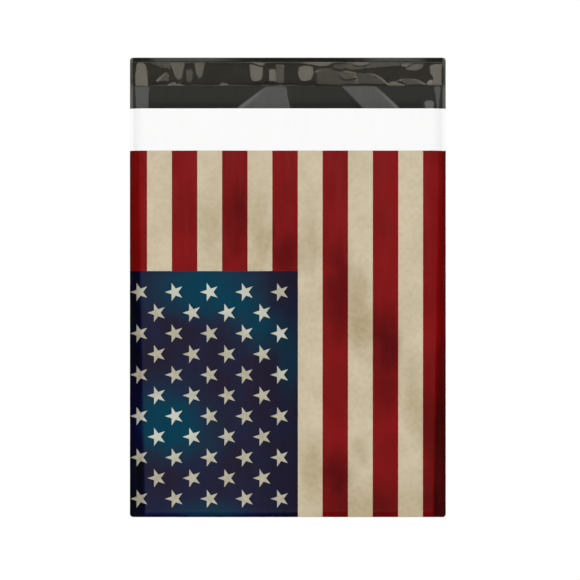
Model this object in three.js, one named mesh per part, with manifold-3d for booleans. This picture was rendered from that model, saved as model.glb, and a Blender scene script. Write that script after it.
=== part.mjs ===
// Poly mailer bag, lying on its back with its flap open. Millimetres, +Z up, flap towards +Y.
// One web of film is folded at the bottom and welded to itself along both sides. The back panel
// runs on past the mouth as the flap, which carries a band of glue under a clear release liner.
import * as THREE from 'three';
import { mergeVertices } from 'three/addons/utils/BufferGeometryUtils.js';
import Module from 'manifold-3d';

const { clamp, lerp, smoothstep } = THREE.MathUtils;

// Driving dimensions: the film and the bag's outline as it lies
const FILM = 0.065;
const BAG_WIDTH = 254;
const POCKET_LENGTH = 328.5;
const FLAP_LENGTH = 41;
const CORNER_RADIUS = 2.5;

// The pocket: pressed edges, and a front panel that rises from them and then lies level
const SIDE_WELD = 2.5;
const BOTTOM_FOLD = 4.3;
const WELD_BEAD = 0.4;
const POCKET_HEIGHT = 4.8;
const ROLL_AT_MOUTH = 9;
const ROLL_AT_BOTTOM = 14;
const ROLL_AT_END = 10;

// The closure on the flap, measured from the flap's free edge and from the bag's sides
const LINER_WIDTH = 19.1;
const LINER_FROM_EDGE = 3.4;
const LINER_FROM_SIDE = 0.6;
const LINER_THICKNESS = 0.05;
const GLUE_WIDTH = 14;
const GLUE_FROM_SIDE = 6;
const GLUE_THICKNESS = 0.1;
const LAYER_GAP = 0.04;

// Two shallow pleats rise from the mouth to the glue, and the flap's side strips curl up
const PLEAT_HEIGHT = 1.6;
const PLEAT_EDGE = 4;
const CURL_HEIGHT = 1.6;
const CURL_FROM_SIDE = 4.4;
const LEFT_CURL_WIDTH = 10.2;
const RIGHT_CURL_FOOT = 4;
const RIGHT_CURL_HEAD = 8;

// The liner's upper edge stands off the glue in scallops
const SCALLOP_SLOPE = 0.15;
const SCALLOPS = [
  { at: -90, half: 7, drop: 14 },
  { at: -70.5, half: 5.5, drop: 12.5 },
  { at: -25.5, half: 7, drop: 16.5 },
  { at: 14.5, half: 8, drop: 16 },
  { at: 46, half: 7, drop: 13 },
  { at: 78, half: 15, drop: 8 },
];

// Facets
const ROLL_STEPS = 8;
const GROWTH_STEPS = 5;
const LINER_STEPS = 8;
const COLUMN_STEP = 2.4;
const CORNER_SEGMENTS = 5;

// How far a cutting or joining solid runs past the face that it meets
const OVERRUN = 3;

// Places worked out from the sizes above
const BOTTOM_Y = -(POCKET_LENGTH + FLAP_LENGTH) / 2;
const MOUTH_Y = BOTTOM_Y + POCKET_LENGTH;
const EDGE_Y = MOUTH_Y + FLAP_LENGTH;
const FOLD_Y = BOTTOM_Y + BOTTOM_FOLD;
const SIDE_X = BAG_WIDTH / 2;
const WELD_X = SIDE_X - SIDE_WELD;
const CURL_X = SIDE_X - CURL_FROM_SIDE;
const LINER_X = SIDE_X - LINER_FROM_SIDE;
const GLUE_X = SIDE_X - GLUE_FROM_SIDE;
const LINER_HIGH_Y = EDGE_Y - LINER_FROM_EDGE;
const LINER_LOW_Y = LINER_HIGH_Y - LINER_WIDTH;
const GLUE_HIGH_Y = LINER_HIGH_Y - (LINER_WIDTH - GLUE_WIDTH) / 2;
const GLUE_LOW_Y = GLUE_HIGH_Y - GLUE_WIDTH;
const TALLEST = 2 * FILM + POCKET_HEIGHT + PLEAT_HEIGHT + CURL_HEIGHT;

// Each fold in the flap: its height, and its span in X at the mouth and at the liner
const FOLDS = [
  { height: PLEAT_HEIGHT, foot: [-36.5, 2.5], head: [-15.5, -2] },
  { height: PLEAT_HEIGHT, foot: [60, 86.5], head: [42, 69] },
  {
    height: CURL_HEIGHT,
    foot: [-CURL_X, LEFT_CURL_WIDTH - CURL_X],
    head: [-CURL_X, LEFT_CURL_WIDTH - CURL_X],
  },
  {
    height: CURL_HEIGHT,
    foot: [CURL_X - RIGHT_CURL_FOOT, CURL_X],
    head: [CURL_X - RIGHT_CURL_HEAD, CURL_X],
  },
];

const wasm = await Module();
wasm.setup();

function solidOf(geometry) {
  const bare = geometry.clone();
  bare.deleteAttribute('normal');
  bare.deleteAttribute('uv');
  const merged = mergeVertices(bare);
  const vertProperties = new Float32Array(merged.attributes.position.array);
  const triVerts = new Uint32Array(merged.index.array);
  return new wasm.Manifold(new wasm.Mesh({ numProp: 3, vertProperties, triVerts }));
}

function geometryOf(solid) {
  const { vertProperties, triVerts } = solid.getMesh();
  const geometry = new THREE.BufferGeometry();
  geometry.setAttribute('position', new THREE.BufferAttribute(vertProperties, 3));
  geometry.setIndex(new THREE.BufferAttribute(triVerts, 1));
  geometry.computeVertexNormals();
  return geometry;
}

function evenSteps(from, to, count) {
  return Array.from({ length: count + 1 }, (_, i) => lerp(from, to, i / count));
}

function mirrored(rightHalf) {
  return [...rightHalf.map((x) => -x), ...rightHalf.slice().reverse()];
}

// A box whose columns, rows and two faces are bent to the given lines and heights
function slab(columnsAt, rows, lowAt, highAt) {
  const across = columnsAt(rows[0]).length - 1;
  const along = rows.length - 1;
  const geometry = new THREE.BoxGeometry(1, 1, 1, across, along, 1);
  const { position } = geometry.attributes;
  for (let i = 0; i < position.count; i += 1) {
    const y = rows[Math.round((position.getY(i) + 0.5) * along)];
    const x = columnsAt(y)[Math.round((position.getX(i) + 0.5) * across)];
    const heightAt = position.getZ(i) > 0 ? highAt : lowAt;
    position.setXYZ(i, x, y, heightAt(x, y));
  }
  matchDiagonals(geometry);
  geometry.computeVertexNormals();
  return geometry;
}

// Splits each cell of a box's underside along the diagonal that its top is split along, so that
// a thin sheet keeps its thickness where it twists
function matchDiagonals({ index, groups }) {
  const { start, count } = groups[5];
  for (let i = start; i < start + count; i += 6) {
    const [a, b, d, , c] = index.array.slice(i, i + 6);
    index.array.set([a, b, c, a, c, d], i);
  }
}

// Share of the full height that the panel has reached at a distance in from its pressed edge
function riseAt(distance, width) {
  return Math.sin((Math.PI / 2) * clamp(distance / width, 0, 1));
}

function rollWidthAt(y) {
  return lerp(ROLL_AT_BOTTOM, ROLL_AT_MOUTH, (y - BOTTOM_Y) / POCKET_LENGTH);
}

// Outer face of the front panel
function frontAt(x, y) {
  const fromSide = riseAt(WELD_X - Math.abs(x), rollWidthAt(y));
  const fromEnd = riseAt(y - FOLD_Y, ROLL_AT_END);
  return 2 * FILM + POCKET_HEIGHT * fromSide * fromEnd;
}

// Inner face of the front panel, one film thickness in, square to its slope
function liningAt(x, y) {
  const step = WELD_BEAD / 8;
  const slopeX = (frontAt(x + step, y) - frontAt(x - step, y)) / (2 * step);
  const slopeY = (frontAt(x, y + step) - frontAt(x, y - step)) / (2 * step);
  return frontAt(x, y) - FILM * Math.hypot(1, slopeX, slopeY);
}

// A fold rises evenly from the mouth to the liner and keeps its height from there on
function foldAt({ foot, head, height }, x, y) {
  const grown = clamp((y - MOUTH_Y) / (LINER_LOW_Y - MOUTH_Y), 0, 1);
  const left = lerp(foot[0], head[0], grown);
  const right = lerp(foot[1], head[1], grown);
  const pastLeft = smoothstep(x, left - PLEAT_EDGE / 2, left + PLEAT_EDGE / 2);
  const pastRight = smoothstep(x, right - PLEAT_EDGE / 2, right + PLEAT_EDGE / 2);
  return height * grown * (pastLeft - pastRight);
}

// Underside of the flap over the surface that the bag lies on
function flapAt(x, y) {
  return FOLDS.reduce((sum, fold) => sum + foldAt(fold, x, y), 0);
}

// How far the liner stands off the glue
function scallopAt(x, y) {
  const lifts = SCALLOPS.map(({ at, half, drop }) => {
    const depth = drop * (1 - ((x - at) / half) ** 2);
    return SCALLOP_SLOPE * Math.max(0, depth - (LINER_HIGH_Y - y));
  });
  return Math.max(...lifts);
}

function level(height) {
  return () => height;
}

function onFlap(offset) {
  return (x, y) => flapAt(x, y) + offset;
}

function onGlue(offset) {
  return (x, y) => flapAt(x, y) + scallopAt(x, y) + offset;
}

function pocketSolid() {
  const rolls = [0, WELD_BEAD, ...evenSteps(0, 1, ROLL_STEPS).slice(1)];
  const inFrom = (width) => rolls.map((s, i) => (i < 2 ? s : s * width));
  const columnsFrom = (first, y) => inFrom(rollWidthAt(y)).slice(first).map((d) => WELD_X - d);
  const outerColumns = (y) => mirrored([SIDE_X + OVERRUN, ...columnsFrom(0, y)]);
  const innerColumns = (y) => mirrored(columnsFrom(1, y));
  const rising = inFrom(ROLL_AT_END).map((d) => FOLD_Y + d);
  const outerRows = [BOTTOM_Y - OVERRUN, ...rising, MOUTH_Y];
  const innerRows = [...rising.slice(1), MOUTH_Y, MOUTH_Y + OVERRUN];
  const outer = solidOf(slab(outerColumns, outerRows, level(0), frontAt));
  const hollow = solidOf(slab(innerColumns, innerRows, level(FILM), liningAt));
  return outer.subtract(hollow);
}

// The flap and the strips on it share their columns, so that their faces lie parallel
function flapColumns() {
  const ends = [-SIDE_X - OVERRUN, -LINER_X, -GLUE_X, GLUE_X, LINER_X, SIDE_X + OVERRUN];
  const between = evenSteps(-WELD_X, WELD_X, Math.ceil((2 * WELD_X) / COLUMN_STEP));
  const clear = between.filter((x) => ends.every((end) => Math.abs(x - end) > COLUMN_STEP / 4));
  return [...ends, ...clear].sort((a, b) => a - b);
}

function stripColumns(end) {
  return flapColumns().filter((x) => Math.abs(x) <= end);
}

function flapSolid() {
  const columns = flapColumns();
  const growing = evenSteps(MOUTH_Y, LINER_LOW_Y, GROWTH_STEPS);
  const rows = [MOUTH_Y - OVERRUN, ...growing, EDGE_Y + OVERRUN];
  return solidOf(slab(() => columns, rows, onFlap(0), onFlap(FILM)));
}

function outlineSolid() {
  const r = CORNER_RADIUS;
  const outline = new THREE.Shape();
  outline.absarc(SIDE_X - r, EDGE_Y - r, r, 0, Math.PI / 2);
  outline.absarc(-SIDE_X + r, EDGE_Y - r, r, Math.PI / 2, Math.PI);
  outline.absarc(-SIDE_X + r, BOTTOM_Y + r, r, Math.PI, 1.5 * Math.PI);
  outline.absarc(SIDE_X - r, BOTTOM_Y + r, r, 1.5 * Math.PI, 2 * Math.PI);
  outline.closePath();
  const depth = TALLEST + 2 * OVERRUN;
  const options = { depth, bevelEnabled: false, curveSegments: CORNER_SEGMENTS };
  return solidOf(new THREE.ExtrudeGeometry(outline, options).translate(0, 0, -OVERRUN));
}

function bagFilm() {
  return geometryOf(pocketSolid().add(flapSolid()).intersect(outlineSolid()));
}

function adhesiveStrip() {
  const columns = stripColumns(GLUE_X);
  const rows = [GLUE_LOW_Y, GLUE_HIGH_Y];
  const under = FILM + LAYER_GAP;
  return slab(() => columns, rows, onFlap(under), onFlap(under + GLUE_THICKNESS));
}

function releaseLiner() {
  const columns = stripColumns(LINER_X);
  const rows = evenSteps(LINER_LOW_Y, LINER_HIGH_Y, LINER_STEPS);
  const under = FILM + GLUE_THICKNESS + 2 * LAYER_GAP;
  return slab(() => columns, rows, onGlue(under), onGlue(under + LINER_THICKNESS));
}

const bag = new THREE.Group();

function addPiece(name, geometry, finish) {
  const mesh = new THREE.Mesh(geometry, new THREE.MeshStandardMaterial(finish));
  mesh.name = name;
  bag.add(mesh);
}

addPiece('bag_film', bagFilm(), { color: 0xf4f3ef, roughness: 0.3, metalness: 0 });
addPiece('adhesive_strip', adhesiveStrip(), { color: 0x35342f, roughness: 0.45, metalness: 0 });
addPiece('release_liner', releaseLiner(), {
  color: 0x8a867c,
  roughness: 0.12,
  metalness: 0,
  transparent: true,
  opacity: 0.35,
});

export default bag;
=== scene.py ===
"""Poly mailer bag: the film, its print, the closure strips, the camera and the light.

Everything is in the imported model's frame. Shapes are worked out in millimetres and become
metres where a mesh is made. The bag lies on its back with its flap open towards +Y.
"""

import math

import bpy
import numpy as np
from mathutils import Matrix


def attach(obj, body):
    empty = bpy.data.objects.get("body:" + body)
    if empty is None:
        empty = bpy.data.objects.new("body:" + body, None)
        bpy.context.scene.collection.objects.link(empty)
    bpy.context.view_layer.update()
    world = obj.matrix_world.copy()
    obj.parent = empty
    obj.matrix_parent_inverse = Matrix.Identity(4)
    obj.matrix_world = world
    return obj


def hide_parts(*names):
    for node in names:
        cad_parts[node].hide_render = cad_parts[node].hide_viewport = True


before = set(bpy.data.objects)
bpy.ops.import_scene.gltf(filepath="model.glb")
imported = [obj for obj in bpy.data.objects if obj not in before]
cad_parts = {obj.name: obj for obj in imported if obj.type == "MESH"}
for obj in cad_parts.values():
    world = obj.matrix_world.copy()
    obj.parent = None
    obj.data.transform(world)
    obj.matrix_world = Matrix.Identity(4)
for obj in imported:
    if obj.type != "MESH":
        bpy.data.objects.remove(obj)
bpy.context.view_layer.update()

MM = 0.001

# The bag's outline and film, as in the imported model
FILM = 0.065
SIDE_X = 127.0
BOTTOM_Y = -184.75
MOUTH_Y = 143.75
EDGE_Y = 184.75
CORNER_RADIUS = 2.5

# The pocket's pressed edges, the rolls that rise from its sides and its slow rise to the mouth
WELD_X = 124.5
FOLD_WIDTH = 4.3
FOLD_Y = BOTTOM_Y + FOLD_WIDTH
POCKET_HEIGHT = 4.8
ROLL_AT_MOUTH = 9.0
ROLL_AT_BOTTOM = 14.0
LOFT = 240.0
LOFT_CURVE = 1.5
FOLD_STEP = 0.2
FOLD_RISE = 2.0
LAYER_GAP = 0.01
TURN = (FILM + LAYER_GAP) / 2

# An opened pocket is never quite level
CROWN = 0.35
WAVES = [
    # height, waves per mm along X and Y, phase
    (0.07, 0.0065, 0.0035, 0.6),
    (0.05, -0.0040, 0.0075, 2.1),
    (0.04, 0.0110, 0.0020, 4.0),
]

# The strips on the flap
GLUE_X = 121.0
GLUE_Y = (164.8, 178.8)
GLUE_THICKNESS = 0.1
LINER_X = 126.4
LINER_Y = (162.25, 181.35)
LINER_THICKNESS = 0.05
STRIP_GAP = 0.04

# Puckers fall towards the flap's edge at one of these slopes, and at their sides at those of WALLS,
# along X and along Y
SLIGHT = 0.006
FAINT = 0.032
GENTLE = 0.038
MIDDLING = 0.046
FIRM = 0.056
STEEP = 0.18
WALLS = (0.8, 0.33)
WALL_SOFT = 0.12

# Puckers in the flap's film: slope, outline
FOLDS = [
    (FIRM, [(-38.6, 142), (2.4, 142), (-2, 162.2), (-15.4, 162.2)]),
    (FIRM, [(61.5, 142), (88, 142), (69.3, 162.2), (42, 162.2)]),
    (FIRM, [(-122.3, 142), (-111.7, 142), (-111.7, 162.2), (-123.3, 162.2)]),
    (FIRM, [(119.5, 142), (122, 142), (123.3, 162.2), (117.5, 162.2)]),
    (
        STEEP,
        [
            (110.4, 142), (117.2, 142), (116.8, 148.5),
            (115.2, 150), (112.4, 150), (110.8, 148.5),
        ],
    ),
]

# The flap dips to its free edge in two stretches: where each comes in and goes out along X.
# Inside the pocket, where it is hidden, that shape runs out
EDGE_DIPS = [((-120, -103), (-66, -12)), ((40, 76), (102, 120))]
EDGE_DIP_WIDTH = 3.2
HIDDEN = 7.0

# Puckers in the liner, roughly from left to right: slope, outline
CREASES = [
    (
        FIRM,
        [
            (-123, 162.3), (-112.2, 162.3), (-113.2, 172), (-115, 178.5),
            (-117, 181), (-119.5, 181), (-121.5, 178.5), (-122.8, 172),
        ],
    ),
    (GENTLE, [(-113.5, 181.3), (-94.5, 181.3), (-94.5, 175), (-99, 176), (-105, 177.8)]),
    (GENTLE, [(-105.4, 165.2), (-95.6, 165.6), (-96.2, 172), (-97.5, 173.3), (-99.5, 171.5)]),
    (
        MIDDLING,
        [
            (-95.6, 181.3), (-82.5, 181.3), (-84.5, 169),
            (-86, 166.8), (-89, 166.8), (-91, 169),
        ],
    ),
    (
        GENTLE,
        [
            (-82, 175.6), (-76.6, 175.6), (-76.6, 167),
            (-78.5, 164.6), (-80.5, 164.6), (-82, 167),
        ],
    ),
    (
        MIDDLING,
        [
            (-75.7, 181.3), (-66.4, 181.3), (-68, 170.5),
            (-70, 167.7), (-72, 167.7), (-74, 171),
        ],
    ),
    (FIRM, [(-96.2, 162.3), (-85.5, 162.3), (-88, 164.4), (-90.5, 165.3), (-93, 164.6)]),
    (FIRM, [(-54.4, 162.3), (-48.2, 162.3), (-49.5, 164.3), (-51.4, 164.8), (-53, 164.3)]),
    (FIRM, [(-30, 181.3), (-17.4, 181.3), (-19.5, 178), (-23.5, 178.2)]),
    (
        FIRM,
        [
            (-31, 179.8), (-24, 177.4), (-19.8, 177), (-20.2, 169), (-21.5, 166.5),
            (-24, 165.4), (-27.5, 165.4), (-29.5, 166.5), (-30.4, 170),
        ],
    ),
    (FIRM, [(-15.2, 175.7), (-10.1, 175.7), (-10.1, 165.5), (-15.2, 165.5)]),
    (GENTLE, [(-9.6, 178), (-7, 180), (-4.5, 180), (-2.9, 177), (-2.9, 164), (-9.6, 164)]),
    (
        FIRM,
        [
            (8, 171), (9.3, 176), (12.5, 178.4), (16.5, 178.4), (19.8, 176),
            (21, 171.5), (19.5, 167.3), (15.5, 165.5), (11.5, 165.8), (9, 168),
        ],
    ),
    (FIRM, [(8.5, 181.3), (38, 181.3), (33, 178.3), (27, 177.6), (20, 178.8), (13, 179.9)]),
    (FAINT, [(35.5, 181.2), (47, 181.2), (46.5, 176), (44, 174.6), (36, 176.2)]),
    (
        FAINT,
        [
            (22.5, 173), (27, 176), (34, 176.6), (43, 174.5),
            (54, 172.6), (56, 163.2), (41, 162.6), (23, 163),
        ],
    ),
    (
        FAINT,
        [
            (50, 172.6), (64, 172.4), (71, 170.5), (76, 167),
            (80, 163), (60, 163.4), (52, 163),
        ],
    ),
    (FIRM, [(49.4, 181.3), (66, 181.3), (63, 178.4), (58, 177.8), (54, 178.5)]),
    (
        GENTLE,
        [
            (47, 181.3), (92, 181.3), (90, 178), (75, 176.8),
            (62, 175.8), (52, 174.4), (46.5, 176.5),
        ],
    ),
    (FIRM, [(91, 180.9), (104, 180.9), (99, 179.2), (95, 177), (91.5, 177.5)]),
    (
        MIDDLING,
        [
            (91, 180.8), (110.6, 180.8), (108.5, 176),
            (103, 173.8), (96, 174.6), (91.5, 177.5),
        ],
    ),
    (FIRM, [(79.2, 162.3), (95.3, 162.3), (92, 164.6), (87, 165.8), (83, 164.8)]),
    (GENTLE, [(96, 162.8), (110.6, 162.8), (104, 166.5), (98, 168.4), (92, 167.5), (88.5, 166)]),
    (
        FIRM,
        [
            (113, 162.4), (124, 162.4), (124, 179), (122.5, 180.4), (119.5, 180.2),
            (114.8, 177), (114.2, 172), (116.5, 168.5), (116.5, 165.5),
        ],
    ),
    (GENTLE, [(-126, 162.2), (126, 162.2), (126, 163.2), (-126, 163.2)]),
    (GENTLE, [(-126, 180.2), (126, 180.2), (126, 181.4), (-126, 181.4)]),
]

# Blisters that stand on those: slope, outline
BLISTERS = [
    (
        SLIGHT,
        [
            (41.4, 173.4), (46.5, 173.8), (52, 171.5), (54.5, 168.5),
            (49, 166.8), (44, 167.4), (42, 170),
        ],
    ),
]

# How far apart the meshes' points are. Across the film, from its middle: start, end, pitch
ACROSS = [(0.0, 110.0, 0.8), (110.0, WELD_X, 0.85), (WELD_X, SIDE_X, 0.6)]
FLAP_PITCH = 0.9
BACK_PITCH = 20.0
STEP_PITCH = 0.4
FRONT_PITCH = 10.0
CORNER_POINTS = 6
TURN_POINTS = 7
GLUE_PITCH = 0.8
LINER_PITCH = 0.5
SHARP_DEGREES = 60.0


def srgb(red, green, blue):
    """A colour as it is read from a screen, 0 to 255, as linear light with an alpha."""
    light = []
    for share in (red / 255, green / 255, blue / 255):
        light.append(share / 12.92 if share <= 0.04045 else ((share + 0.055) / 1.055) ** 2.4)
    return (*light, 1.0)


def ease(x, low, high):
    t = np.clip((x - low) / (high - low), 0, 1)
    return t * t * (3 - 2 * t)


def blend(low, high, share):
    return low + (high - low) * share


# Shapes


def rise(distance, width):
    return np.sin(np.pi / 2 * np.clip(distance / width, 0, 1))


def front_lift(x, y):
    """How far the front panel stands off the back panel."""
    roll = blend(ROLL_AT_BOTTOM, ROLL_AT_MOUTH, (y - BOTTOM_Y) / (MOUTH_Y - BOTTOM_Y))
    loft = 1 - (1 - np.clip((y - FOLD_Y) / LOFT, 0, 1)) ** LOFT_CURVE
    crown = CROWN * (1 - (x / SIDE_X) ** 2)
    swell = sum(h * np.sin(2 * np.pi * (u * x + v * y) + p) for h, u, v, p in WAVES)
    step = FOLD_STEP * ease(y, FOLD_Y, FOLD_Y + FOLD_RISE)
    return rise(WELD_X - np.abs(x), roll) * (loft * (POCKET_HEIGHT + crown + swell) + step)


def wall_drop(x, y, outline):
    """How far a pucker's wall has fallen at points outside its outline, and nought inside."""
    u, v = x * WALLS[0], y * WALLS[1]
    corners = [(a * WALLS[0], b * WALLS[1]) for a, b in outline]
    drop = np.full(u.shape, np.inf)
    inside = np.zeros(u.shape, bool)
    for (au, av), (bu, bv) in zip(corners, corners[1:] + corners[:1]):
        share = ((u - au) * (bu - au) + (v - av) * (bv - av)) / ((bu - au) ** 2 + (bv - av) ** 2)
        share = np.clip(share, 0, 1)
        drop = np.minimum(drop, np.hypot(u - blend(au, bu, share), v - blend(av, bv, share)))
        if av != bv:
            beyond = u < blend(au, bu, (v - av) / (bv - av))
            inside ^= ((av > v) != (bv > v)) & beyond
    return np.where(inside, 0, drop**2 / (drop + WALL_SOFT))


def puckered(x, y, puckers):
    lift = np.zeros(x.shape)
    for slope, outline in puckers:
        top = max(corner[1] for corner in outline)
        lift = np.maximum(lift, slope * (top - y) - wall_drop(x, y, outline))
    return lift


def edge_lift(x, y):
    """How far the flap stands up behind the stretches where its edge dips, as far as the pocket."""
    share = sum(ease(x, *start) - ease(x, *end) for start, end in EDGE_DIPS)
    depth = np.clip(EDGE_Y - y, 0, EDGE_DIP_WIDTH)
    return MIDDLING * share * depth * ease(y, MOUTH_Y - HIDDEN, MOUTH_Y)


def flap_lift(x, y):
    """How far the flap stands off the surface that the bag lies on."""
    return puckered(x, y, FOLDS) + edge_lift(x, y)


def liner_lift(x, y):
    """How far the liner stands off the glue."""
    return puckered(x, y, CREASES) + puckered(x, y, BLISTERS)


def half_width(y):
    """Half the bag's width, less where its corners are rounded."""
    from_end = np.minimum(EDGE_Y - y, y - BOTTOM_Y)
    into = np.clip(CORNER_RADIUS - from_end, 0, CORNER_RADIUS)
    return SIDE_X - (CORNER_RADIUS - np.sqrt(CORNER_RADIUS**2 - into**2))


def steps(start, end, pitch):
    count = max(1, math.ceil(abs(end - start) / pitch))
    return np.linspace(start, end, count + 1)


def joined(*runs):
    return np.unique(np.concatenate(runs))


def normals(points):
    across = np.gradient(points, axis=1)
    along = np.gradient(points, axis=0)
    normal = np.cross(across, along)
    return normal / np.linalg.norm(normal, axis=2, keepdims=True)


def film_rows():
    """Where the film's rows lie along Y: down the flap and the back, and up the front."""
    corner = CORNER_RADIUS * (1 - np.cos(np.linspace(0, np.pi / 2, CORNER_POINTS)))
    flap = joined(steps(MOUTH_Y - HIDDEN, EDGE_Y - CORNER_RADIUS, FLAP_PITCH), EDGE_Y - corner)
    back = joined(
        steps(FOLD_Y, MOUTH_Y - HIDDEN, BACK_PITCH),
        steps(BOTTOM_Y + CORNER_RADIUS, FOLD_Y, FLAP_PITCH),
    )
    end = joined(
        BOTTOM_Y + TURN + corner,
        steps(BOTTOM_Y + CORNER_RADIUS + TURN, FOLD_Y, FLAP_PITCH),
    )
    front = joined(
        steps(FOLD_Y, FOLD_Y + FOLD_RISE, STEP_PITCH),
        steps(FOLD_Y + FOLD_RISE, MOUTH_Y, FRONT_PITCH),
    )
    return joined(flap, back, end)[::-1], joined(end, front)


def film_grid():
    """The middle of the film from the flap's edge, down the back, round the fold and up the front.

    The second value is the number of the front panel's first row.
    """
    right = joined(*(steps(*run) for run in ACROSS))
    shares = np.concatenate([-right[:0:-1], right]) / SIDE_X
    down, up = film_rows()
    rows = []
    for row_y in down:
        x = shares * half_width(row_y)
        y = np.full_like(x, row_y)
        rows.append(np.stack([x, y, FILM / 2 + flap_lift(x, y)], 1))
    for angle in np.linspace(0, np.pi, TURN_POINTS)[1:-1]:
        x = shares * half_width(BOTTOM_Y)
        y = np.full_like(x, BOTTOM_Y + TURN - TURN * math.sin(angle))
        z = np.full_like(x, FILM / 2 + TURN - TURN * math.cos(angle))
        rows.append(np.stack([x, y, z], 1))
    for row_y in up:
        x = shares * half_width(row_y)
        y = np.full_like(x, row_y)
        rows.append(np.stack([x, y, FILM / 2 + 2 * TURN + front_lift(x, y)], 1))
    return np.array(rows), len(rows) - len(up)


def strip_grid(half, span, pitch, offset):
    """The middle of a strip that follows the flap, a distance out from the film's middle."""
    x, y = np.meshgrid(steps(-half, half, pitch), steps(span[1], span[0], pitch))
    points = np.stack([x, y, FILM / 2 + flap_lift(x, y)], 2)
    return points - normals(points) * offset


def shell_faces(rows, columns):
    """The faces of a closed sheet: its outer side, then its inner side, then its rim."""
    count = rows * columns
    index = np.arange(count).reshape(rows, columns)
    a, b, c, d = index[:-1, :-1], index[:-1, 1:], index[1:, 1:], index[1:, :-1]
    outer = np.stack([a, b, c, d], 2).reshape(-1, 4)
    inner = np.stack([a, d, c, b], 2).reshape(-1, 4) + count
    loop = np.concatenate([index[0, :-1], index[:-1, -1], index[-1, :0:-1], index[:0:-1, 0]])
    after = np.roll(loop, -1)
    rim = np.stack([after, loop, loop + count, after + count], 1)
    return np.concatenate([outer, inner, rim])


def shell(name, middle, thickness, materials, outer_slots, inner_slot):
    """A closed sheet: a grid carried half its thickness out to both sides, with a rim between."""
    rows, columns = middle.shape[:2]
    out = normals(middle) * thickness / 2
    points = np.concatenate([(middle + out).reshape(-1, 3), (middle - out).reshape(-1, 3)]) * MM
    mesh = bpy.data.meshes.new(name)
    mesh.from_pydata(points.tolist(), [], shell_faces(rows, columns).tolist())
    outer = np.repeat(np.broadcast_to(outer_slots, rows - 1), columns - 1)
    slots = np.full(len(mesh.polygons), inner_slot, np.int32)
    slots[: len(outer)] = outer
    mesh.polygons.foreach_set("material_index", slots)
    for material in materials:
        mesh.materials.append(material)
    mesh.shade_smooth()
    mesh.set_sharp_from_angle(angle=math.radians(SHARP_DEGREES))
    mesh.update()
    piece = bpy.data.objects.new(name, mesh)
    bpy.context.scene.collection.objects.link(piece)
    return piece


# Finishes

# Colours of the film's two sides, the glue and the liner
WHITE = (0.95, 0.95, 0.945, 1.0)
OFF_WHITE = (0.94, 0.94, 0.934, 1.0)
INSIDE = srgb(49, 49, 46)
INSIDE_STREAK = srgb(47, 47, 44)
# Painted shade along the flap's free edge, where the film curls away
FREE_EDGE_SHADE = srgb(29, 29, 26)
# Paler colour along the welded sides
PALE_WELD_MARGIN = srgb(98, 96, 90)
THIN_GLUE = srgb(52, 50, 45)
THICK_GLUE = srgb(47, 45, 40)
CLEAR = srgb(252, 250, 244)
CLEAR_SHINE = (1.0, 0.94, 0.8, 1.0)
CLEAR_IOR = 1.45

# Colours of the print
RED = srgb(128, 20, 21)
WORN_RED = srgb(80, 8, 10)
CREAM = srgb(207, 194, 168)
WORN_CREAM = srgb(166, 148, 113)
NIGHT = srgb(34, 29, 47)
NIGHT_BLUE = srgb(30, 34, 59)
TEAL = srgb(4, 57, 77)
STAR = srgb(182, 177, 157)
WORN_STAR = srgb(166, 160, 140)
STAR_ON_TEAL = srgb(196, 199, 187)

# Roughness, from the faintest streak or lump to the strongest
PRINT_ROUGH = (0.12, 0.18)
WHITE_ROUGH = (0.24, 0.32)
INSIDE_ROUGH = (0.08, 0.12)
GLUE_ROUGH = (0.2, 0.24)
CLEAR_ROUGH = (0.025, 0.055)

# Noise: scale per mm, detail, and the levels that become nought and one
STREAK = (0.3, 4.0, 0.3, 0.7)
LUMP = (0.4, 4.0, 0.3, 0.7)
MOTTLE = (0.03, 5.0, 0.35, 0.65)
GRAIN = (0.25, 4.0, 0.35, 0.75)
SHIFT_X = (0.05, 3.0, 0.3, 0.7)
SHIFT_Y = (0.06, 3.0, 0.3, 0.7)

# Film is drawn along Y, so its streaks are long that way
DRAWN = (1.0, 0.08, 1.0)

# Ripples in the film: scale per mm and detail, and how deep they and the glue's lumps are
RIPPLE = (0.05, 2.0)
OUTSIDE_RIPPLE = 0.08
INSIDE_RIPPLE = 0.02
LUMP_DEPTH = 0.001

# How far in from the flap's edge, where painted shade darkens the lining, and from the sides the
# lining changes colour: from and to
FREE_EDGE_SHADE_RUN = (3.6, 3.2)
WELD_RUN = (3.2, 1.2)

# Print on the front, placed from the bag's middle
PRINT_TOP = 109.9
STRIPE = 20.177
RED_SHARE = 0.507
FLAG_LEFT = -133.51
CANTON_RIGHT = 8.1
CANTON_TOP = 13.1
STAR_POINTS = 5
STAR_RADIUS = 7.72
STAR_INNER = 0.382
STAR_COLUMNS = 5
STAR_STEP = 28.25
STAR_FIRST_X = -119.25
STAR_ROWS = 11
STAR_ROW = 16.625
STAR_FIRST_Y = -3.75

# What the star field keeps of its colour at its right edge, and how wide that shade is
DUSK = (0.7, 0.62, 0.66, 1.0)
DUSK_WIDTH = 45.0

# Painted shade, where the film rolls round the sides and the bottom: width at the top and at the
# foot
LEFT_SHADE_BAND = (5.4, 12.0)
RIGHT_SHADE_BAND = (3.6, 9.8)
SIDE_SHADE_SOFT = (3.2, 1.3)
SHADE_RIM = 5.0
BOTTOM_SHADE_BAND = 5.0

# What a band of painted shade takes from the colour and what it keeps of the rest: from the outline
# to the rim's width in, and on the right also from the top to the foot, between two shares of the
# way down
SHADE_TAKES = (0.03, 0.03, 0.03, 1.0)
BOTTOM_SHADE_SHARE = 0.7
LEFT_SHADE_KEEPS = (0.6, 0.78)
RIGHT_RIM_SHADE_KEEPS = (0.66, 1.0)
RIGHT_SHADE_KEEPS = (0.76, 0.36)
RIGHT_SHADE_KEEPS_RUN = (0.42, 0.7)

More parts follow.
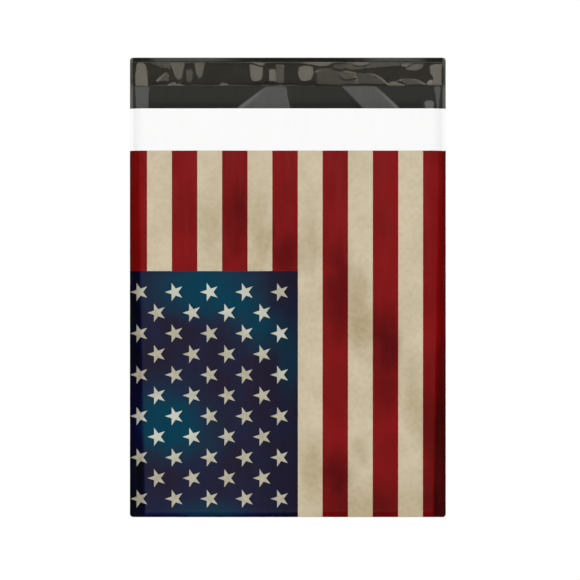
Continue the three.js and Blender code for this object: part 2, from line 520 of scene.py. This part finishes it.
# Worn places in the stripes and blue-green places in the star field: middle, half size, strength
STAINS = [
    ((-60.0, 56.0), (17.0, 50.0), 0.5),
    ((-39.0, 56.0), (15.0, 38.0), 0.85),
    ((-21.0, 46.0), (14.0, 50.0), 0.75),
    ((-2.0, 72.0), (14.0, 24.0), 0.35),
    ((-1.0, 26.0), (16.0, 26.0), 0.8),
    ((19.0, 42.0), (15.0, 58.0), 0.5),
    ((42.0, 2.0), (15.0, 58.0), 0.7),
    ((59.0, -18.0), (14.0, 52.0), 0.8),
    ((62.0, -36.0), (14.0, 26.0), 0.3),
    ((78.0, -42.0), (18.0, 40.0), 0.85),
    ((78.0, -80.0), (16.0, 40.0), 0.45),
    ((100.0, -87.0), (14.0, 48.0), 0.65),
    ((115.0, -124.0), (14.0, 84.0), 0.75),
    ((59.0, -131.0), (13.0, 16.0), 0.7),
    ((40.0, -147.0), (16.0, 26.0), 0.85),
    ((19.0, -146.0), (15.0, 38.0), 0.75),
    ((70.0, -182.0), (95.0, 48.0), 0.7),
]
TEALS = [
    ((-66.0, 0.0), (66.0, 34.0), 1.0),
    ((-36.0, -22.0), (36.0, 24.0), 0.65),
    ((-18.0, -38.0), (28.0, 24.0), 0.7),
    ((3.0, -58.0), (18.0, 48.0), 0.65),
    ((-95.0, -87.0), (42.0, 28.0), 0.25),
    ((-100.0, -112.0), (46.0, 36.0), 1.0),
    ((-76.0, -118.0), (42.0, 32.0), 0.35),
    ((-62.0, -180.0), (44.0, 14.0), 0.55),
]

# Such a place is even as far out as its core, and noise moves its outline by up to the play in mm
PATCH_CORE = 0.15
PATCH_PLAY = 3.0

# How much of the wear is stains and not mottle, and how much of the cream's is wear and not grain
STAIN_SHARE = 0.75
WEAR_SHARE = 0.8


class Graph:
    """Adds nodes to a material or a world and wires them up as they are made."""

    def __init__(self, owner):
        owner.use_nodes = True
        self.owner = owner
        self.nodes = owner.node_tree.nodes
        self.links = owner.node_tree.links

    def add(self, kind, *values, **settings):
        node = self.nodes.new(kind)
        for key, value in settings.items():
            setattr(node, key, value)
        for socket, value in zip(node.inputs, values):
            self.put(value, socket)
        return node

    def put(self, value, socket):
        if isinstance(value, bpy.types.NodeSocket):
            self.links.new(value, socket)
        else:
            socket.default_value = value

    def math(self, operation, *values):
        return self.add("ShaderNodeMath", *values, operation=operation).outputs[0]

    def ramp(self, value, low, high, start=0.0, end=1.0):
        """A smooth rise or fall from start to end, while the value goes from low to high."""
        settings = {"interpolation_type": "SMOOTHSTEP", "clamp": True}
        return self.add("ShaderNodeMapRange", value, low, high, start, end, **settings).outputs[0]

    def length(self, x, y):
        squares = self.math("ADD", self.math("POWER", x, 2.0), self.math("POWER", y, 2.0))
        return self.math("SQRT", squares)

    def weigh(self, share, first, second):
        """A share of the first value, and the rest of the second."""
        part = self.math("MULTIPLY", first, share)
        return self.math("ADD", part, self.math("MULTIPLY", second, 1 - share))

    def blend(self, kind, share, low, high):
        """One colour laid on another. A plain mix also takes lengths, so it isn't held below one."""
        settings = {"data_type": "RGBA", "blend_type": kind, "clamp_result": kind != "MIX"}
        node = self.add("ShaderNodeMix", **settings)
        self.put(share, node.inputs["Factor"])
        self.put(low, node.inputs[6])
        self.put(high, node.inputs[7])
        return node.outputs[2]

    def mix(self, share, low, high):
        return self.blend("MIX", share, low, high)

    def noise(self, vector, scale, detail):
        node = self.add("ShaderNodeTexNoise", vector)
        self.put(scale, node.inputs["Scale"])
        self.put(detail, node.inputs["Detail"])
        return node.outputs["Fac"]

    def pattern(self, vector, scale, detail, low, high, start=0.0, end=1.0):
        return self.ramp(self.noise(vector, scale, detail), low, high, start, end)

    def bump(self, height, depth):
        node = self.add("ShaderNodeBump")
        self.put(depth * MM, node.inputs["Distance"])
        self.put(height, node.inputs["Height"])
        return node.outputs["Normal"]

    def set(self, **values):
        """Sets or wires the shader's own sockets, named with underscores for spaces."""
        shader = self.nodes["Principled BSDF"]
        for name, value in values.items():
            self.put(value, shader.inputs[name.replace("_", " ")])
        return self.owner


def finish(name):
    return Graph(bpy.data.materials.new(name))


def place(g):
    """Where a point of a piece lies, in millimetres."""
    metres = g.add("ShaderNodeTexCoord").outputs["Object"]
    node = g.add("ShaderNodeVectorMath", metres, operation="SCALE")
    g.put(1 / MM, node.inputs["Scale"])
    return node.outputs[0]


def streaks(g, spot):
    """Faint lines along Y, the way that film is drawn."""
    drawn = g.add("ShaderNodeVectorMath", spot, DRAWN, operation="MULTIPLY")
    return g.pattern(drawn.outputs[0], *STREAK)


def ripples(g, spot, depth):
    return g.bump(g.noise(spot, *RIPPLE), depth)


def bare_film(name):
    """The film's white outside, where nothing is printed on it."""
    g = finish(name)
    spot = place(g)
    streak = streaks(g, spot)
    colour = g.mix(streak, WHITE, OFF_WHITE)
    rough = g.ramp(streak, 0.0, 1.0, *WHITE_ROUGH)
    return g.set(Base_Color=colour, Roughness=rough, Normal=ripples(g, spot, OUTSIDE_RIPPLE))


def lining(name):
    """The film's inside, paler along its welded sides, and darkest along the flap's free edge, where
    painted shade stands in for the shadow of the curling edge.
    """
    g = finish(name)
    spot = place(g)
    parts = g.add("ShaderNodeSeparateXYZ", spot)
    streak = streaks(g, spot)
    edge = g.ramp(parts.outputs["Y"], EDGE_Y - FREE_EDGE_SHADE_RUN[0], EDGE_Y - FREE_EDGE_SHADE_RUN[1])
    from_middle = g.math("ABSOLUTE", parts.outputs["X"])
    weld = g.ramp(from_middle, SIDE_X - WELD_RUN[0], SIDE_X - WELD_RUN[1])
    # Painted shade darkens the lining along the flap's free edge.
    colour = g.mix(edge, g.mix(streak, INSIDE, INSIDE_STREAK), FREE_EDGE_SHADE)
    colour = g.mix(weld, colour, PALE_WELD_MARGIN)
    rough = g.ramp(streak, 0.0, 1.0, *INSIDE_ROUGH)
    return g.set(Base_Color=colour, Roughness=rough, Normal=ripples(g, spot, INSIDE_RIPPLE))


def glue_finish(name):
    """Slightly lumpy glue, which lies over the dark film and takes its colour."""
    g = finish(name)
    lump = g.pattern(place(g), *LUMP)
    colour = g.mix(lump, THIN_GLUE, THICK_GLUE)
    rough = g.ramp(lump, 0.0, 1.0, *GLUE_ROUGH)
    return g.set(Base_Color=colour, Roughness=rough, Normal=g.bump(lump, LUMP_DEPTH))


def clear_film(name):
    """Clear, faintly streaked film with a warm shine."""
    g = finish(name)
    rough = g.ramp(streaks(g, place(g)), 0.0, 1.0, *CLEAR_ROUGH)
    g.set(Base_Color=CLEAR, Specular_Tint=CLEAR_SHINE, Roughness=rough)
    return g.set(Transmission_Weight=1.0, IOR=CLEAR_IOR)


def star_mask(g, x, y, first_x, first_y):
    """One in each five-pointed star of an endless lattice, its point towards -X."""
    from_x = g.math("WRAP", g.math("SUBTRACT", x, first_x), STAR_STEP / 2, -STAR_STEP / 2)
    from_y = g.math("WRAP", g.math("SUBTRACT", y, first_y), STAR_ROW, -STAR_ROW)
    half_point = math.pi / STAR_POINTS
    turn = g.math("ARCTAN2", from_y, g.math("MULTIPLY", from_x, -1.0))
    folded = g.math("PINGPONG", g.math("ABSOLUTE", turn), half_point)
    reach = g.length(from_x, from_y)
    along = g.math("MULTIPLY", reach, g.math("COSINE", folded))
    aside = g.math("MULTIPLY", reach, g.math("SINE", folded))
    inner_x = STAR_RADIUS * STAR_INNER * math.cos(half_point)
    inner_y = STAR_RADIUS * STAR_INNER * math.sin(half_point)
    rest = g.math("MULTIPLY", aside, STAR_RADIUS - inner_x)
    edge = g.math("ADD", g.math("MULTIPLY", along, inner_y), rest)
    return g.math("LESS_THAN", edge, STAR_RADIUS * inner_y)


def patch(g, x, y, at, size):
    """One in the middle of a soft oval, falling to nought at its edge."""
    out_x = g.math("DIVIDE", g.math("SUBTRACT", x, at[0]), size[0])
    out_y = g.math("DIVIDE", g.math("SUBTRACT", y, at[1]), size[1])
    return g.ramp(g.length(out_x, out_y), PATCH_CORE, 1.0, 1.0, 0.0)


def summed(g, x, y, patches):
    """How strong a set of soft ovals is together, one at most."""
    total = 0.0
    for at, size, strength in patches:
        total = g.math("ADD", total, g.math("MULTIPLY", patch(g, x, y, at, size), strength))
    return g.math("MINIMUM", total, 1.0)


def stripes(g, x, worn, grain):
    """Red and cream stripes along the bag, each with its wear."""
    red = g.mix(worn, RED, WORN_RED)
    cream = g.mix(g.weigh(WEAR_SHARE, worn, grain), CREAM, WORN_CREAM)
    turn = g.math("DIVIDE", g.math("SUBTRACT", x, FLAG_LEFT), 2 * STRIPE)
    return g.mix(g.math("LESS_THAN", g.math("FRACT", turn), RED_SHARE), cream, red)


def within(g, value, middle, reach):
    """One where a value is less than a reach away from the middle, and nought elsewhere."""
    away = g.math("ABSOLUTE", g.math("SUBTRACT", value, middle))
    return g.math("LESS_THAN", away, reach)


def star_field(g, x, y, teal, mottle, grain):
    """Eleven rows of stars, five and four by turns."""
    ground = g.mix(teal, g.mix(mottle, NIGHT, NIGHT_BLUE), TEAL)
    dusk = g.ramp(x, CANTON_RIGHT - DUSK_WIDTH, CANTON_RIGHT)
    ground = g.blend("MULTIPLY", dusk, ground, DUSK)
    reach_x = (STAR_COLUMNS - 1) / 2 * STAR_STEP
    reach_y = (STAR_ROWS - 1) / 2 * STAR_ROW
    within_x = within(g, x, STAR_FIRST_X + reach_x, reach_x)
    within_y = within(g, y, STAR_FIRST_Y - reach_y, reach_y)
    five = star_mask(g, x, y, STAR_FIRST_X, STAR_FIRST_Y)
    four = star_mask(g, x, y, STAR_FIRST_X + STAR_STEP / 2, STAR_FIRST_Y - STAR_ROW)
    four = g.math("MULTIPLY", four, g.math("MULTIPLY", within_x, within_y))
    star = g.mix(teal, g.mix(grain, STAR, WORN_STAR), STAR_ON_TEAL)
    return g.mix(g.math("MAXIMUM", five, four), ground, star)


def painted_edge_shade(g, x, y, colour):
    """The print's colour, taken darker along the sides and the bottom as painted shade."""
    down = g.math("DIVIDE", g.math("SUBTRACT", PRINT_TOP, y), PRINT_TOP - BOTTOM_Y)
    right = g.math("GREATER_THAN", x, 0.0)

    def run(at_top, at_foot):
        return g.math("MULTIPLY_ADD", down, at_foot - at_top, at_top)

    width = g.mix(right, run(*LEFT_SHADE_BAND), run(*RIGHT_SHADE_BAND))
    from_side = g.math("SUBTRACT", SIDE_X, g.math("ABSOLUTE", x))
    out = g.math("DIVIDE", g.math("SUBTRACT", from_side, width), run(*SIDE_SHADE_SOFT))
    side = g.ramp(out, -1.0, 1.0, 1.0, 0.0)
    bottom = g.ramp(y, BOTTOM_Y, BOTTOM_Y + BOTTOM_SHADE_BAND, BOTTOM_SHADE_SHARE, 0.0)
    keep_left = g.ramp(from_side, 0.0, SHADE_RIM, *LEFT_SHADE_KEEPS)
    rim_right = g.ramp(from_side, 0.0, SHADE_RIM, *RIGHT_RIM_SHADE_KEEPS)
    keep_right = g.math("MULTIPLY", g.ramp(down, *RIGHT_SHADE_KEEPS_RUN, *RIGHT_SHADE_KEEPS), rim_right)
    keep = g.mix(right, keep_left, keep_right)
    # Painted shade: the sides and the bottom are taken darker where the film rolls away from the
    # light.
    shaded = g.blend("SUBTRACT", g.math("MAXIMUM", side, bottom), colour, SHADE_TAKES)
    return g.blend("MULTIPLY", side, shaded, keep)


def printed_film(name):
    """The film's outside on the front: the print, and bare white above it."""
    g = finish(name)
    spot = place(g)
    parts = g.add("ShaderNodeSeparateXYZ", spot)
    x, y = parts.outputs["X"], parts.outputs["Y"]

    loose_x = g.math("ADD", x, g.pattern(spot, *SHIFT_X, -PATCH_PLAY, PATCH_PLAY))
    loose_y = g.math("ADD", y, g.pattern(spot, *SHIFT_Y, -PATCH_PLAY, PATCH_PLAY))
    mottle = g.pattern(spot, *MOTTLE)
    grain = g.pattern(spot, *GRAIN)
    worn = g.weigh(STAIN_SHARE, summed(g, loose_x, loose_y, STAINS), mottle)
    teal = summed(g, loose_x, loose_y, TEALS)

    left = g.math("LESS_THAN", x, CANTON_RIGHT)
    canton = g.math("MULTIPLY", left, g.math("LESS_THAN", y, CANTON_TOP))
    flag = g.mix(canton, stripes(g, x, worn, grain), star_field(g, x, y, teal, mottle, grain))
    streak = streaks(g, spot)
    bare = g.mix(streak, WHITE, OFF_WHITE)
    above = g.math("GREATER_THAN", y, PRINT_TOP)
    # Below the print's top, the colour carries painted shade along the sides and the bottom.
    colour = g.mix(above, painted_edge_shade(g, x, y, flag), bare)
    rough = g.ramp(streak, 0.0, 1.0, *PRINT_ROUGH)
    return g.set(Base_Color=colour, Roughness=rough, Normal=ripples(g, spot, OUTSIDE_RIPPLE))


# The pieces

printed = printed_film("printed_film")
white_film = bare_film("white_film")
dark_film = lining("dark_film")
glue_paste = glue_finish("glue")
clear_strip = clear_film("clear_liner")

film_points, first_front_row = film_grid()
face_rows = np.arange(len(film_points) - 1)
film = shell(
    "film",
    film_points,
    FILM,
    [printed, white_film, dark_film],
    np.where(face_rows >= first_front_row, 0, 1),
    2,
)
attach(film, "root")
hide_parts("bag_film")

glue_offset = FILM / 2 + STRIP_GAP + GLUE_THICKNESS / 2
glue_points = strip_grid(GLUE_X, GLUE_Y, GLUE_PITCH, glue_offset)
glue = shell("glue_band", glue_points, GLUE_THICKNESS, [glue_paste], 0, 0)
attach(glue, "root")
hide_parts("adhesive_strip")

liner_offset = FILM / 2 + 2 * STRIP_GAP + GLUE_THICKNESS + LINER_THICKNESS / 2
liner_points = strip_grid(LINER_X, LINER_Y, LINER_PITCH, liner_offset)
liner_points[:, :, 2] += liner_lift(liner_points[:, :, 0], liner_points[:, :, 1])
liner = shell("clear_liner", liner_points, LINER_THICKNESS, [clear_strip], 0, 0)
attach(liner, "root")
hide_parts("release_liner")


# Stage

FLOOR_SIZE = 12.0
FLOOR_DROP = 0.0002
FLOOR_COLOUR = (0.8, 0.8, 0.8, 1.0)
PURE_WHITE = (1.0, 1.0, 1.0, 1.0)

# How bright the room is, and how high its white horizon and the dim foot of its windows reach
ROOM_LEVEL = 0.05
HORIZON = (0.1, 0.13)
WINDOW_FOOT = (0.35, 0.7)
FOOT_SHARE = 0.25

# How fast the windows widen away from straight above, and how soft their sides are
WINDOW_SPREAD = 1.73
WINDOW_SOFT = 0.05

# Each window's light comes up in steps, away from straight above: start, end, gain
WINDOW_BEHIND = [
    (0.108, 0.112, 0.56),
    (0.122, 0.126, 0.24),
    (0.135, 0.155, 0.95),
    (0.3, 0.4, 0.75),
]
WINDOW_BEFORE = [(0.45, 0.5, 2.85)]

# The camera looks straight down: where it stands in metres, its lens and sensor in millimetres
CAMERA_AT = (0.00175, -0.0021, 3.240)
CAMERA_LENS = 250
CAMERA_SENSOR = 36
CAMERA_REACH = 50


def seen_by(g, *rays):
    """One for the kinds of ray that are named, and nought for the others."""
    path = g.add("ShaderNodeLightPath")
    seen = 0.0
    for ray in rays:
        seen = g.math("MAXIMUM", seen, path.outputs[f"Is {ray} Ray"])
    return seen


def white_floor():
    """A pale floor that is white to the camera, in reflections and through clear film."""
    g = finish("floor")
    seen = seen_by(g, "Camera", "Glossy", "Transmission")
    g.set(Base_Color=g.mix(seen, FLOOR_COLOUR, PURE_WHITE), Roughness=1.0, Specular_IOR_Level=0.0)
    bpy.ops.mesh.primitive_plane_add(size=FLOOR_SIZE, location=(0, 0, -FLOOR_DROP))
    floor = bpy.context.object
    floor.name = "floor"
    floor.data.materials.append(g.owner)


def window(g, x, y, gains):
    """A wide soft window in the room, seen above the way that y runs."""
    aside = g.math("SUBTRACT", g.math("ABSOLUTE", x), g.math("MULTIPLY", y, WINDOW_SPREAD))
    light = 0.0
    for start, end, gain in gains:
        light = g.math("ADD", light, g.ramp(y, start, end, 0.0, gain))
    return g.math("MULTIPLY", light, g.ramp(aside, -WINDOW_SOFT, WINDOW_SOFT, 1.0, 0.0))


def room():
    """A dark room with a window before and behind the bag, and white along the horizon."""
    g = Graph(bpy.data.worlds.new("room"))
    way = g.add("ShaderNodeSeparateXYZ", g.add("ShaderNodeTexCoord").outputs["Generated"])
    x, y, z = way.outputs["X"], way.outputs["Y"], way.outputs["Z"]
    behind = window(g, x, y, WINDOW_BEHIND)
    before = window(g, x, g.math("MULTIPLY", y, -1.0), WINDOW_BEFORE)
    foot = g.ramp(z, *WINDOW_FOOT, FOOT_SHARE, 1.0)
    light = g.math("MULTIPLY_ADD", g.math("ADD", behind, before), foot, ROOM_LEVEL)
    horizon = g.ramp(z, *HORIZON, 1.0, 0.0)
    background = g.nodes["Background"]
    g.put(g.math("MAXIMUM", light, horizon), background.inputs["Strength"])
    g.put(PURE_WHITE, background.inputs["Color"])
    bpy.context.scene.world = g.owner


def camera():
    lens = bpy.data.cameras.new("camera")
    lens.lens = CAMERA_LENS
    lens.sensor_width = CAMERA_SENSOR
    lens.clip_end = CAMERA_REACH
    eye = bpy.data.objects.new("camera", lens)
    eye.location = CAMERA_AT
    bpy.context.scene.collection.objects.link(eye)
    bpy.context.scene.camera = eye


white_floor()
room()
camera()
bpy.context.scene.view_settings.view_transform = "Standard"
